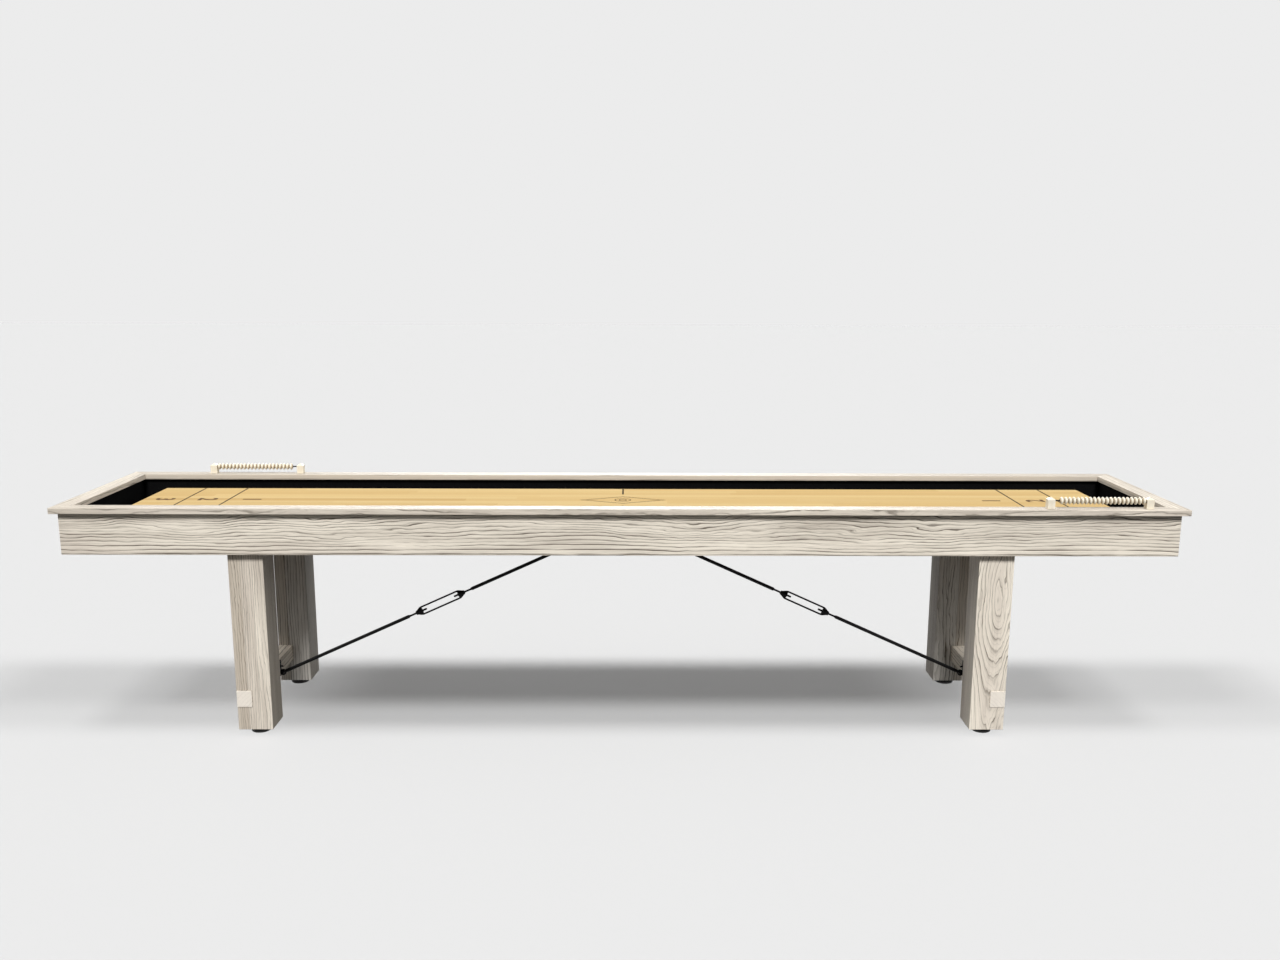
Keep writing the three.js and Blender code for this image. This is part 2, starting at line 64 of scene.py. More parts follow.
# ------------------------------------------------------------------ node graph helpers
class Graph:
    """A short way to write a material's node tree."""

    def __init__(self, name):
        self.material = bpy.data.materials.new(name)
        self.material.use_nodes = True
        self.tree = self.material.node_tree
        self.tree.nodes.clear()
        self.shader = self.tree.nodes.new("ShaderNodeBsdfPrincipled")
        output = self.tree.nodes.new("ShaderNodeOutputMaterial")
        self.tree.links.new(self.shader.outputs[0], output.inputs["Surface"])

    def feed(self, socket, value):
        if isinstance(value, bpy.types.NodeSocket):
            self.tree.links.new(value, socket)
        elif value is not None:
            socket.default_value = value

    def set(self, name, value):
        self.feed(self.shader.inputs[name], value)

    def math(self, operation, a, b=None, c=None, clamp=False):
        node = self.tree.nodes.new("ShaderNodeMath")
        node.operation = operation
        node.use_clamp = clamp
        for socket, value in zip(node.inputs, (a, b, c)):
            self.feed(socket, value)
        return node.outputs[0]

    def scaled(self, value, factor, offset, clamp=False):
        """The value times the factor, plus the offset."""
        return self.math("MULTIPLY_ADD", value, factor, offset, clamp)

    def product(self, a, b, clamp=False):
        return self.math("MULTIPLY", a, b, clamp=clamp)

    def less(self, a, b):
        return self.math("SUBTRACT", a, b)

    def length(self, a, b):
        """The length of the flat vector (a, b)."""
        return self.math("SQRT", self.math("ADD", self.product(a, a), self.product(b, b)))

    def place(self):
        """The place in the frame, in metres."""
        node = self.tree.nodes.new("ShaderNodeTexCoord")
        return node.outputs["Object"]

    def split(self, vector):
        node = self.tree.nodes.new("ShaderNodeSeparateXYZ")
        self.feed(node.inputs[0], vector)
        return node.outputs

    def join(self, x, y, z):
        node = self.tree.nodes.new("ShaderNodeCombineXYZ")
        for socket, value in zip(node.inputs, (x, y, z)):
            self.feed(socket, value)
        return node.outputs[0]

    def stretch(self, vector, scale, offset=(0, 0, 0)):
        node = self.tree.nodes.new("ShaderNodeMapping")
        node.vector_type = "POINT"
        self.feed(node.inputs["Vector"], vector)
        node.inputs["Scale"].default_value = scale
        node.inputs["Location"].default_value = offset
        return node.outputs[0]

    def noise(self, vector, scale, detail, roughness=0.5):
        node = self.tree.nodes.new("ShaderNodeTexNoise")
        self.feed(node.inputs["Vector"], vector)
        node.inputs["Scale"].default_value = scale
        node.inputs["Detail"].default_value = detail
        node.inputs["Roughness"].default_value = roughness
        return node.outputs["Fac"]

    def streaks(self, vector, along, across, detail, roughness=0.5, shift=0.0):
        """Noise with `along` waves a metre down the first axis and `across` on the other two."""
        drawn_out = self.stretch(vector, (along, across, across), (shift, 0, 0))
        return self.noise(drawn_out, 1.0, detail, roughness)

    def random(self, vector):
        node = self.tree.nodes.new("ShaderNodeTexWhiteNoise")
        node.noise_dimensions = "3D"
        self.feed(node.inputs["Vector"], vector)
        return node.outputs["Value"]

    def ramp(self, value, stops):
        """The value looked up in (position, grey or colour) stops."""
        node = self.tree.nodes.new("ShaderNodeValToRGB")
        self.feed(node.inputs[0], value)
        elements = node.color_ramp.elements
        while len(elements) < len(stops):
            elements.new(0.5)
        for element, (position, colour) in zip(elements, stops):
            element.position = position
            grey = (colour,) * 3 if isinstance(colour, (int, float)) else colour
            element.color = (*grey, 1)
        return node.outputs[0]

    def mix(self, amount, a, b):
        node = self.tree.nodes.new("ShaderNodeMix")
        node.data_type = "RGBA"
        for socket, value in ((node.inputs[0], amount), (node.inputs[6], a), (node.inputs[7], b)):
            if isinstance(value, tuple):
                value = (*value, 1)
            self.feed(socket, value)
        return node.outputs[2]

    def bump(self, height, strength, distance):
        node = self.tree.nodes.new("ShaderNodeBump")
        node.inputs["Strength"].default_value = strength
        node.inputs["Distance"].default_value = distance
        self.feed(node.inputs["Height"], height)
        self.set("Normal", node.outputs[0])


# --------------------------------------------------------------------------- materials
CREAM = (0.905, 0.832, 0.712)
GREIGE = (0.575, 0.515, 0.435)
ROSE = (0.600, 0.520, 0.450)
WARM_ASH = (0.460, 0.385, 0.300)
SHADE_GREY = (0.560, 0.575, 0.580)
RING_BROWN = (0.115, 0.092, 0.068)
PORE_GREY = (0.180, 0.155, 0.125)
END_GRAIN = (0.830, 0.765, 0.680)

# How dark a year's growth is, from one winter (0) to the next (1).
EARLY_WOOD = [(0.0, 1.0), (0.07, 0.85), (0.17, 0.30), (0.38, 0.10), (0.84, 0.0), (0.93, 0.25),
              (0.98, 1.0)]
HAIR_LINE = [(0.0, 1.0), (0.16, 0.15), (0.30, 0.0), (0.86, 0.0), (1.0, 1.0)]
HAIRS_PER_YEAR = 2.7
LINE_STRENGTH = 1.35
HAIR_STRENGTH = 0.58
GLUE_AND_SIDE_SHADE = 0.60
GLUE_BAND = 0.030
WARM_STRENGTH = 0.45
SWELL_LIMIT = 0.075
FINE_BEND = 0.0042


def glued_boards(g, across, edge, width):
    """The number of the board that a place is on, and how near it is to a glue line."""
    boards = g.math("DIVIDE", g.less(across, edge), width)
    joint = g.math("FRACT", boards)
    joint = g.math("MINIMUM", joint, g.less(1.0, joint))
    return g.math("FLOOR", boards), g.ramp(joint, [(0.0, 1.0), (GLUE_BAND, 0.0)])


def heart_distance(g, run, across, deep, grain, pith, wave, hump):
    """How far a place is from the tree's heart, along a grain that wanders slowly and finely."""
    slow = g.streaks(grain, 1.9, 8.0, 1.0)
    middle = g.streaks(grain, 6.5, 24.0, 2.0, 0.6, shift=3.1)
    fine = g.streaks(grain, 30.0, 90.0, 1.0)
    bend = g.scaled(g.less(slow, 0.5), wave * 2.6, 0.0)
    bend = g.scaled(g.less(middle, 0.5), wave * 0.95, bend)
    bend = g.scaled(g.less(fine, 0.5), FINE_BEND, bend)
    up = g.less(g.math("ADD", across, bend), pith[0])
    back = g.less(g.scaled(bend, 0.6, deep), pith[1])
    if hump:
        place, slope, least = hump
        lean = g.product(g.less(g.math("ADD", run, bend), place), slope)
        swell = g.math("TANH", g.math("DIVIDE", g.length(lean, least), SWELL_LIMIT))
        back = g.scaled(swell, SWELL_LIMIT, back)
    return g.length(up, back)


def white_wash(g, grain, fibre, tone, shade):
    """The wash over the wood: streaked along the grain, clouded, and rosy in wide patches."""
    streak = g.streaks(grain, 2.2, 42.0, 3.0, 0.6, shift=1.9)
    cloud = g.streaks(grain, 0.9, 5.0, 2.0, shift=4.9)
    rose = g.streaks(grain, 1.1, 7.0, 2.0, shift=9.4)
    wash = g.math("ADD", g.scaled(streak, 1.9, tone - 0.95), g.scaled(fibre, 1.7, -0.85))
    wash = g.math("ADD", wash, g.scaled(cloud, 1.1, -0.55))
    wash = g.math("ADD", wash, shade, clamp=True)
    colour = g.mix(wash, CREAM, GREIGE)
    return g.mix(g.ramp(rose, [(0.50, 0.0), (0.72, 0.50)]), colour, ROSE)


def end_grain(g, colour, along):
    """Turns the colour to speckled end grain on the faces that the grain runs into."""
    geometry = g.tree.nodes.new("ShaderNodeNewGeometry")
    facing = g.split(geometry.outputs["Normal"])["xyz".index(along)]
    speck = g.noise(g.place(), 900.0, 2.0, 0.6)
    end = g.mix(g.ramp(speck, [(0.45, 0.0), (0.75, 0.45)]), END_GRAIN, GREIGE)
    end_on = g.ramp(g.math("ABSOLUTE", facing), [(0.6, 0.0), (0.9, 0.85)])
    return g.mix(end_on, colour, end)


def washed_ash(name, along, pith, seed, ring, wave, tone, lines,
               stave=None, hump=None, plain_ends=False, grey=0.0):
    """White-washed ash. `along` is the grain's axis, and `pith` is where the tree's heart lay on
    the other two axes. `ring` is a year's growth, `wave` how much the grain wanders, `tone` how
    dark the wash is and `lines` how strong the ring lines are. `stave` is (edge, width, warm
    stave) of boards glued side by side, and `hump` is (place, slope, least distance) of a
    swelling that draws nested ovals. `grey` is how far the colour is turned to a cool grey:
    painted shade, the hue of wood in the shade under the table."""
    g = Graph(name)
    x, y, z = g.split(g.place())
    run, across, deep = {"x": (x, z, y), "y": (y, z, x), "z": (z, x, y)}[along]
    moved_run, shade = run, 0.0
    if stave:
        edge, width, warm_stave = stave
        board, glue = glued_boards(g, across, edge, width)
        chance = g.random(g.join(board, seed, 0.0))
        shade = g.scaled(chance, 0.5, -0.25)
        moved_run = g.scaled(chance, 3.7, run)
        deep = g.scaled(chance, 0.05, deep)
    grain = g.join(g.math("ADD", moved_run, seed * 1.37), across, deep)
    patch = g.streaks(grain, 4.0, 26.0, 3.0, 0.6, shift=7.7)
    fibre = g.streaks(grain, 4.0, 190.0, 4.0, 0.72)

    heart = heart_distance(g, run, across, deep, grain, pith, wave, hump)
    year = g.math("DIVIDE", heart, ring)
    early = g.ramp(g.math("FRACT", year), EARLY_WOOD)
    vigour = g.random(g.join(g.math("FLOOR", year), seed, 1.0))
    depth = g.product(g.scaled(vigour, 1.0, 0.30), g.scaled(patch, 3.0, -0.80, clamp=True))
    line = g.product(g.product(early, depth), LINE_STRENGTH * lines, clamp=True)
    hair = g.ramp(g.math("FRACT", g.product(year, HAIRS_PER_YEAR)), HAIR_LINE)
    hair = g.product(hair, g.product(patch, HAIR_STRENGTH * lines))
    pore = g.ramp(g.streaks(grain, 38.0, 1500.0, 1.0), [(0.52, 0.0), (0.66, 1.0)])
    pore = g.product(pore, g.scaled(early, 0.75, 0.12))

    colour = white_wash(g, grain, fibre, tone, shade)
    # Painted shade: the colour turned toward a cool grey, the hue of wood in shade.
    if grey:
        colour = g.mix(grey, colour, SHADE_GREY)
    if stave:
        warm = g.math("COMPARE", board, warm_stave, 0.5)
        colour = g.mix(g.product(warm, WARM_STRENGTH), colour, WARM_ASH)
        # Glue lines where the staves meet are real; the side faces lie inside the glue band and get
        # painted shade over their whole width.
        line = g.math("MAXIMUM", line, g.product(glue, GLUE_AND_SIDE_SHADE))
    line = g.math("ADD", line, hair, clamp=True)
    colour = g.mix(line, colour, RING_BROWN)
    colour = g.mix(g.product(pore, 0.55), colour, PORE_GREY)
    if plain_ends:
        colour = end_grain(g, colour, along)
    g.set("Base Color", colour)
    g.set("Roughness", g.scaled(line, 0.22, 0.52))
    g.set("Specular IOR Level", 0.30)
    relief = g.scaled(pore, -0.8, g.product(line, -0.6))
    g.bump(g.scaled(fibre, 0.35, relief), 0.6, 0.0008)
    return g.material


MAPLE_STRIPS = 11
MAPLE_LENGTH = 1.15
MAPLE_SEAM = 0.018
MAPLE_TONES = [(0.0, (0.820, 0.565, 0.230)), (0.45, (0.895, 0.645, 0.280)),
               (0.8, (0.930, 0.695, 0.325)), (1.0, (0.765, 0.510, 0.200))]
MAPLE_GRAIN = (0.500, 0.295, 0.105)
MAPLE_FLECK = (0.360, 0.200, 0.080)
MAPLE_KNOT = (0.420, 0.225, 0.085)
MAPLE_GLUE = (0.330, 0.190, 0.080)


def maple_block(low, high):
    """Maple strips glued side by side under a clear coat. The strips run along x."""
    g = Graph("maple_block")
    x, y, z = g.split(g.place())
    strips = g.math("DIVIDE", g.less(y, low.y), (high.y - low.y) / MAPLE_STRIPS)
    row = g.math("FLOOR", strips)
    first_end = g.scaled(g.random(g.join(row, 3.0, 0.0)), MAPLE_LENGTH * 5, x)
    board = g.math("FLOOR", g.math("DIVIDE", first_end, MAPLE_LENGTH))
    hue = g.random(g.join(board, row, 5.0))
    tint = g.random(g.join(board, row, 9.0))
    moved = g.join(g.scaled(hue, 7.0, x), g.scaled(tint, 2.0, y), z)
    wave = g.streaks(moved, 1.6, 14.0, 2.0)
    rings = g.math("SINE", g.scaled(wave, 34.0, g.product(y, 620.0)))
    fibre = g.streaks(moved, 9.0, 520.0, 3.0, 0.6)
    fleck = g.streaks(moved, 60.0, 900.0, 1.0)
    knot = g.streaks(moved, 3.0, 22.0, 3.0, shift=5.0)
    shade = g.scaled(rings, 0.10, g.product(fibre, 0.45))
    colour = g.mix(g.product(shade, 0.46, clamp=True), g.ramp(hue, MAPLE_TONES), MAPLE_GRAIN)
    dark = g.ramp(fleck, [(0.66, 0.0), (0.78, 1.0)])
    colour = g.mix(g.product(dark, 0.30), colour, MAPLE_FLECK)
    colour = g.mix(g.ramp(knot, [(0.70, 0.0), (0.80, 0.55)]), colour, MAPLE_KNOT)
    seam = g.math("FRACT", strips)
    seam = g.math("MINIMUM", seam, g.less(1.0, seam))
    glue = g.ramp(seam, [(0.0, 1.0), (MAPLE_SEAM, 0.0)])
    colour = g.mix(g.product(glue, 0.45), colour, MAPLE_GLUE)
    g.set("Base Color", colour)
    g.set("Roughness", g.scaled(fibre, 0.10, 0.44))
    g.set("Specular IOR Level", 0.20)
    g.set("Coat Weight", 0.08)
    g.set("Coat Roughness", 0.36)
    g.bump(fibre, 0.08, 0.0002)
    return g.material


PILE_SHADOW = (0.0022, 0.0022, 0.0024)
PILE_TIP = (0.0085, 0.0085, 0.0090)
PILE_WORN = (0.0065, 0.0062, 0.0060)


def black_carpet():
    """Short looped pile."""
    g = Graph("gutter_carpet")
    place = g.place()
    loops = g.noise(place, 900.0, 2.0, 0.7)
    tufts = g.noise(place, 240.0, 2.0, 0.6)
    worn = g.noise(place, 7.0, 2.0)
    pile = g.ramp(g.product(loops, tufts), [(0.12, 0.0), (0.45, 1.0)])
    colour = g.mix(pile, PILE_SHADOW, PILE_TIP)
    g.set("Base Color", g.mix(g.product(worn, 0.35), colour, PILE_WORN))
    g.set("Roughness", 0.96)
    g.set("Specular IOR Level", 0.02)
    g.bump(g.scaled(loops, 0.6, tufts), 0.8, 0.0012)
    return g.material


RUBBED_STEEL = (0.055, 0.052, 0.050)


def black_steel(name, base=0.0025, roughness=0.50, wear=0.12):
    """Satin black powder coat with a fine orange-peel surface and paler, rubbed places."""
    g = Graph(name)
    place = g.place()
    peel = g.noise(place, 1400.0, 2.0, 0.6)
    rub = g.noise(place, 60.0, 4.0, 0.65)
    amount = g.product(g.ramp(rub, [(0.56, 0.0), (0.80, 1.0)]), wear)
    g.set("Base Color", g.mix(amount, (base, base, base * 1.04), RUBBED_STEEL))
    g.set("Specular IOR Level", 0.12)
    g.set("Roughness", g.scaled(peel, 0.16, roughness - 0.08))
    g.bump(peel, 0.25, 0.0002)
    return g.material


MOULDED_BLACK = (0.008, 0.008, 0.008)
DUST = (0.045, 0.043, 0.040)


def moulded_black():
    """Grained black plastic with a little dust on it."""
    g = Graph("foot_black")
    place = g.place()
    grain = g.noise(place, 1800.0, 2.0, 0.7)
    dust = g.noise(place, 45.0, 3.0)
    g.set("Base Color", g.mix(g.ramp(dust, [(0.5, 0.0), (0.85, 0.4)]), MOULDED_BLACK, DUST))
    g.set("Roughness", g.scaled(grain, 0.2, 0.5))
    g.bump(grain, 0.3, 0.0003)
    return g.material


BEAD_RADIUS = 12.25 * MM
CREASE_SHADE = (0.300, 0.215, 0.125)
IVORY_DARKENING = (0.84, 0.80, 0.72)


def ivory(name, base, streak, axis=None):
    """Smooth ivory with faint turned or sawn streaks and a little light under the surface. Beads
    threaded along x on the `axis` (y, z) get painted shade in the creases between them."""
    g = Graph(name)
    place = g.place()
    cloud = g.noise(place, 60.0, 3.0)
    lines = g.noise(g.stretch(place, streak), 1.0, 3.0, 0.6)
    shade = g.scaled(lines, 0.6, g.product(cloud, 0.5))
    darker = tuple(value * factor for value, factor in zip(base, IVORY_DARKENING))
    colour = g.mix(g.ramp(shade, [(0.30, 0.0), (0.85, 1.0)]), base, darker)
    if axis:
        off_y, off_z = (g.less(value, centre) for value, centre in zip(g.split(place)[1:], axis))
        depth = g.math("DIVIDE", g.length(off_y, off_z), BEAD_RADIUS)
        # Painted shade: darker toward the beads' necks, where the creases between them lie.
        colour = g.mix(g.ramp(depth, [(0.55, 0.85), (0.93, 0.0)]), colour, CREASE_SHADE)
    g.set("Base Color", colour)
    g.set("Roughness", g.scaled(lines, 0.15, 0.30))
    g.set("Subsurface Weight", 0.08)
    g.set("Subsurface Radius", (0.004, 0.003, 0.002))
    g.bump(lines, 0.12, 0.0002)
    return g.material


PLY_TONES = [(0.2, (0.600, 0.430, 0.260)), (0.55, (0.500, 0.345, 0.195)),
             (0.9, (0.360, 0.235, 0.125))]


def plywood():
    """Raw birch plywood, its grain along x."""
    g = Graph("birch_plywood")
    place = g.place()
    bands = g.math("SINE", g.product(g.streaks(place, 1.2, 14.0, 3.0, 0.6), 60.0))
    fibre = g.streaks(place, 7.0, 420.0, 3.0, 0.6)
    g.set("Base Color", g.ramp(g.scaled(bands, 0.16, fibre), PLY_TONES))
    g.set("Roughness", 0.72)
    g.bump(fibre, 0.3, 0.0004)
    return g.material


def inlay(name, colour):
    """Stain let into the playfield: the maple's fibre shows through it a little."""
    g = Graph(name)
    fibre = g.streaks(g.place(), 25.0, 700.0, 3.0, 0.6)
    lighter = tuple(min(1.0, value * 1.8 + 0.01) for value in colour)
    g.set("Base Color", g.mix(g.ramp(fibre, [(0.35, 0.0), (0.75, 0.7)]), colour, lighter))
    g.set("Roughness", 0.50)
    g.set("Specular IOR Level", 0.15)
    g.bump(fibre, 0.1, 0.0001)
    return g.material


# ------------------------------------------------------------------------ mesh helpers
SMOOTH_ANGLE = math.radians(35)
BEVEL_ANGLE = math.radians(30)
WELD_GAP = 0.02 * MM
ON_AXIS = 1e-9
LEAST_MITRE = 0.35


def mesh_object(name, verts, faces, material):
    mesh = bpy.data.meshes.new(name)
    mesh.from_pydata([tuple(v) for v in verts], [], faces)
    mesh.validate()
    mesh.shade_smooth()
    mesh.set_sharp_from_angle(angle=SMOOTH_ANGLE)
    mesh.materials.append(material)
    obj = bpy.data.objects.new(name, mesh)
    bpy.context.scene.collection.objects.link(obj)
    return obj


def lathe(profile, segments):
    """Vertices and faces of a closed solid of revolution about z. The (radius, z) profile runs
    from axis to axis, or is a closed loop when it touches the axis nowhere."""
    verts, rings = [], []
    for radius, z in profile:
        if radius < ON_AXIS:
            rings.append([len(verts)])
            verts.append((0.0, 0.0, z))
            continue
        rings.append(list(range(len(verts), len(verts) + segments)))
        for i in range(segments):
            turn = 2 * math.pi * i / segments
            verts.append((radius * math.cos(turn), radius * math.sin(turn), z))
    pairs = list(zip(rings, rings[1:]))
    starts_on_axis = len(rings[0]) == 1
    if not starts_on_axis:
        pairs.append((rings[-1], rings[0]))
    faces = []
    for a, b in pairs:
        for i in range(segments):
            j = (i + 1) % segments
            quad = [a[i % len(a)], a[j % len(a)], b[j % len(b)], b[i % len(b)]]
            corners = list(dict.fromkeys(quad))
            if len(corners) > 2:
                faces.append(corners)
    return verts, faces


def tube(path, radius, segments=20):
    """Vertices and faces of a capped round bar along a path of points in the xz plane."""
    verts, faces = [], []
    for i, point in enumerate(path):
        before, after = path[max(i - 1, 0)], path[min(i + 1, len(path) - 1)]
        heading = (Vector(after) - Vector(before)).normalized()
        side = Vector((0, 1, 0))
        up = heading.cross(side)
        for k in range(segments):
            turn = 2 * math.pi * k / segments
            verts.append(Vector(point) + radius * (side * math.cos(turn) + up * math.sin(turn)))
    for i in range(len(path) - 1):
        for k in range(segments):
            n = (k + 1) % segments
            a, b = i * segments, (i + 1) * segments
            faces.append([a + k, a + n, b + n, b + k])
    faces.append(list(range(segments))[::-1])
    last = (len(path) - 1) * segments
    faces.append(list(range(last, last + segments)))
    return verts, faces


def merged(parts):
    """The vertices and faces of several parts as those of one."""
    verts, faces = [], []
    for part_verts, part_faces in parts:
        start = len(verts)
        verts += list(part_verts)
        faces += [[start + i for i in face] for face in part_faces]
    return verts, faces


def turned(part, matrix):
    """A part's vertices and faces, moved and turned by the matrix."""
    verts, faces = part
    return [matrix @ Vector(v) for v in verts], faces


def ribbon(outline, width, bottom, top):
    """A closed flat band of the given width, inside an outline of (x, y) points."""
    count = len(outline)
    inner = []
    for i, point in enumerate(outline):
        before = Vector(outline[i - 1])
        after = Vector(outline[(i + 1) % count])
        here = Vector(point)
        a = (here - before).normalized()
        b = (after - here).normalized()
        normal = Vector((-(a + b).y, (a + b).x)).normalized()
        reach = width / max(LEAST_MITRE, normal.dot(Vector((-a.y, a.x))))
        inner.append(here + normal * reach)
    loops = [[(*p, z) for p in ring] for ring, z in
             ((outline, top), (inner, top), (inner, bottom), (outline, bottom))]
    verts = [v for loop in loops for v in loop]
    faces = []
    for k in range(4):
        for i in range(count):
            j = (i + 1) % count
            a, b = k * count, ((k + 1) % 4) * count
            faces.append([a + i, a + j, b + j, b + i])
    return verts, faces


def slab(low, high):
    """Vertices and faces of a box between two corners."""
    (x0, y0, z0), (x1, y1, z1) = low, high
    verts = [(x, y, z) for z in (z0, z1) for x, y in ((x0, y0), (x1, y0), (x1, y1), (x0, y1))]
    faces = [[3, 2, 1, 0], [4, 5, 6, 7]]
    for i in range(4):
        j = (i + 1) % 4
        faces.append([i, j, j + 4, i + 4])
    return verts, faces


def rides(obj, body, replaced=()):
    """Hangs a piece on the body that it moves with, and hides the CAD nodes that it stands for."""
    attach(obj, body)
    if replaced:
        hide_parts(*replaced)
    return obj


def cad(node, material, bevel=0.0, segments=3):
    """Gives a CAD node its material, and rounds its edges by modifiers only."""
    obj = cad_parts[node]
    obj.data.materials.clear()
    obj.data.materials.append(material)
    if bevel:
        weld = obj.modifiers.new("weld", "WELD")
        weld.merge_threshold = WELD_GAP
        edge = obj.modifiers.new("eased_edges", "BEVEL")
        edge.width = bevel
        edge.segments = segments
        edge.limit_method = "ANGLE"
        edge.angle_limit = BEVEL_ANGLE


def middle(node):
    """The middle of a CAD node's box."""
    low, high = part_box(node)
    return (low + high) / 2


# ---------------------------------------------------------- cabinet, rails, legs, carpet
field_low, field_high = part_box("playfield")
apron_mid = middle("apron_front").z
rail_mid = middle("rail_front").z
end_x = middle("apron_right").x
side_y = middle("apron_back").y

EASED = 1.3 * MM
RAIL_LINES = 0.65
APRON_LINES = 1.00

# `pith` is measured from the board's middle height and from the middle of the apron's thickness.
GRAIN = {
    "apron_front": dict(along="x", pith=(apron_mid - 0.125, -side_y + 0.075), seed=11.3,
                        ring=0.0086, wave=0.046, tone=0.14),
    "apron_back": dict(along="x", pith=(apron_mid + 0.110, side_y - 0.060), seed=4.9,
                       ring=0.0096, wave=0.040, tone=0.42),
    "apron_left": dict(along="y", pith=(apron_mid - 0.105, -end_x + 0.070), seed=8.2,
                       ring=0.0096, wave=0.034, tone=0.42),
    "apron_right": dict(along="y", pith=(apron_mid + 0.120, end_x - 0.050), seed=2.4,
                        ring=0.0092, wave=0.034, tone=0.42),
    "rail_front": dict(along="x", pith=(rail_mid - 0.070, -side_y - 0.150), seed=21.1,
                       ring=0.0125, wave=0.020, tone=0.78),
    "rail_back": dict(along="x", pith=(rail_mid - 0.080, side_y + 0.140), seed=17.6,
                      ring=0.0086, wave=0.024, tone=1.40),
    "rail_left": dict(along="y", pith=(rail_mid - 0.070, -end_x - 0.130), seed=14.8,
                      ring=0.0120, wave=0.020, tone=0.78),
    "rail_right": dict(along="y", pith=(rail_mid - 0.080, end_x + 0.150), seed=26.4,
                       ring=0.0120, wave=0.020, tone=0.78),
}
for node, look in GRAIN.items():
    strength = RAIL_LINES if node.startswith("rail") else APRON_LINES
    cad(node, washed_ash(f"ash_{node}", lines=strength, **look), EASED)

# Each leg is three staves glued side by side, but the front right one is a single board with
# nested ovals. The staves reach a hair past the faces, so that no face lies on a stave's edge.
# The faces toward -x and +x still lie inside the glue band, so they come out darker over their
# whole width: painted shade on the legs' sides, while the lines where staves meet are real.
LEG_GRAIN = {
    "front_left": dict(offset=(0.160, 0.120), seed=31.7, ring=0.0068, wave=0.011, tone=0.74,
                       lines=0.52),
    "front_right": dict(offset=(0.016, 0.0), seed=5.27, ring=0.0078, wave=0.036, tone=0.18,
                        lines=0.60),
    # The back legs are turned grey: painted shade for their place under the table.
    "back_left": dict(offset=(0.130, -0.090), seed=12.9, ring=0.0090, wave=0.016, tone=0.60,
                      lines=0.95, grey=0.45),
    "back_right": dict(offset=(-0.090, -0.110), seed=23.3, ring=0.0092, wave=0.018, tone=0.58,
                       lines=0.95, grey=0.45),
}
OVAL_HEIGHT, OVAL_SLOPE, OVAL_LEAST = 0.485, 0.27, 0.016
STAVES = 3
STAVE_MARGIN = 0.10 * MM
for corner, look in LEG_GRAIN.items():
    low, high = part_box(f"leg_{corner}")
    off_x, off_y = look.pop("offset")
    centre = (low + high) / 2
    pith = (centre.x + off_x, centre.y + off_y)
    if corner == "front_right":
        pith = (pith[0], low.y)
        look["hump"] = (OVAL_HEIGHT, OVAL_SLOPE, OVAL_LEAST)
    else:
        outermost = 0 if corner.endswith("left") else STAVES - 1
        width = (high.x - low.x + 2 * STAVE_MARGIN) / STAVES
        look["stave"] = (low.x - STAVE_MARGIN, width, outermost)
    cad(f"leg_{corner}", washed_ash(f"ash_leg_{corner}", "z", pith, **look), EASED)

STRETCHER_GRAIN = dict(along="y", ring=0.0105, wave=0.010, tone=0.30, lines=0.60,
                       plain_ends=True)
STRETCHER_SEED = {"left": 37.0, "right": 43.0}
for side, sign in SIDES.items():
    centre = middle(f"stretcher_{side}")
    pith = (centre.z - 0.095, centre.x - sign * 0.090)
    cad(f"stretcher_{side}", washed_ash(f"ash_stretcher_{side}", pith=pith,
                                        seed=STRETCHER_SEED[side], **STRETCHER_GRAIN), EASED)

ply = plywood()
cad("bottom_panel", ply, bevel=0.8 * MM, segments=2)
for place in ("left", "centre", "right"):
    cad(f"playfield_support_{place}", ply, bevel=1.5 * MM, segments=2)

carpet = black_carpet()
for edge in EDGES:
    cad(f"gutter_carpet_{edge}", carpet)
cad("gutter_floor_carpet", carpet)

# ---------------------------------------------------------------------------- playfield
cad("playfield", maple_block(field_low, field_high), bevel=2.5 * MM, segments=4)

LINE_X = (1.520, 1.368)
LINE_WIDTH = 5.6 * MM
INLAY_HEIGHT = 0.12 * MM
INLAY_DEPTH = 0.05 * MM
NUMERAL_X = {"3": 1.5930, "2": 1.4450, "1": 1.2920}
NUMERAL_SIZE = 0.088
STROKE_SPREAD = 2.0 * MM
EDGE_CLEAR = 3.0 * MM
ink = inlay("inlay_walnut", (0.020, 0.013, 0.008))
pale_ink = inlay("inlay_pale_walnut", (0.125, 0.064, 0.026))
inlay_low = field_high.z - INLAY_DEPTH
inlay_top = field_high.z + INLAY_HEIGHT
inlays = []


def cross_line(name, x, y0, y1):
    """A dark line across the playfield."""
    part = slab((x - LINE_WIDTH / 2, y0, inlay_low), (x + LINE_WIDTH / 2, y1, inlay_top))
    inlays.append(rides(mesh_object(name, *part, ink), ROOT))


def numeral(name, text, x, turn):
    """A scoring number in the plain built-in font, let into the playfield."""
    curve = bpy.data.curves.new(name, "FONT")
    curve.body = text
    curve.size = NUMERAL_SIZE
    curve.align_x = "CENTER"
    curve.align_y = "CENTER"
    curve.extrude = (inlay_top - inlay_low) / 2
    curve.offset = STROKE_SPREAD
    curve.resolution_u = 6
    letter = bpy.data.objects.new(name, curve)
    mesh = bpy.data.meshes.new_from_object(letter)
    bpy.data.objects.remove(letter)
    mesh.transform(Matrix.Translation((x, 0, (inlay_top + inlay_low) / 2))
                   @ Matrix.Rotation(turn, 4, "Z"))
    mesh.materials.clear()
    mesh.materials.append(pale_ink)
    obj = bpy.data.objects.new(name, mesh)
    bpy.context.scene.collection.objects.link(obj)
    inlays.append(rides(obj, ROOT))


